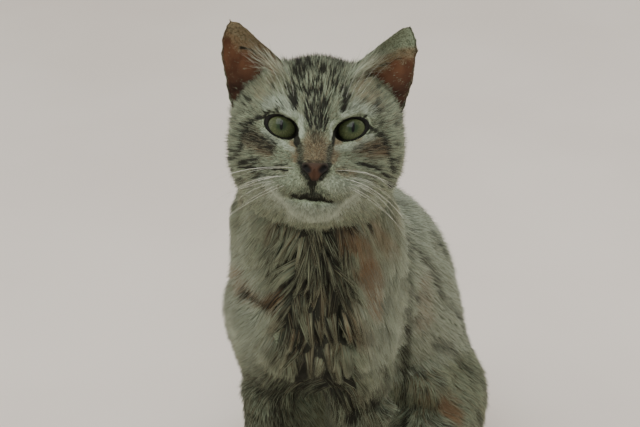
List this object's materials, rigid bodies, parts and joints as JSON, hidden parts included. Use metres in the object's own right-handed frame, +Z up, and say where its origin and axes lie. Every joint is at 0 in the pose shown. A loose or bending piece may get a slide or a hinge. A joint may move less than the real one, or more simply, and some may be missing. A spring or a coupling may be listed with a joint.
{
  "type": "cat",
  "caption": "Life-size still house cat, sitting upright on its haunches with the forepaws together, the head raised and turned to its left, and the tail laid along the floor",
  "frame": {"origin": "on the floor, under the centre of the box round the whole cat", "axes": "+Z up, +X towards the cat's left side, -Y the way its chest faces"},
  "size_m": [0.1888, 0.3126, 0.3953],
  "materials": {
    "coat": "short soft fur, grey-brown with dark stripes and a pale chin",
    "ear": "thin short fur outside, bare skin and long pale hairs inside",
    "eye": "wet gloss",
    "nose": "fine pebbled, slightly damp"
  },
  "bodies": {
    "root": {"head": "coat", "neck": "coat", "trunk": "coat", "ear_left": "ear", "ear_right": "ear", "eye_left": "eye", "eye_right": "eye", "nose": "nose", "foreleg_left": "coat", "foreleg_right": "coat", "forepaw_left": "coat", "forepaw_right": "coat", "hind_leg_left": "coat", "hind_leg_right": "coat", "hind_foot_left": "coat", "hind_foot_right": "coat", "tail_base": "coat", "tail_middle": "coat", "tail_tip": "coat"}
  },
  "joints": []
}
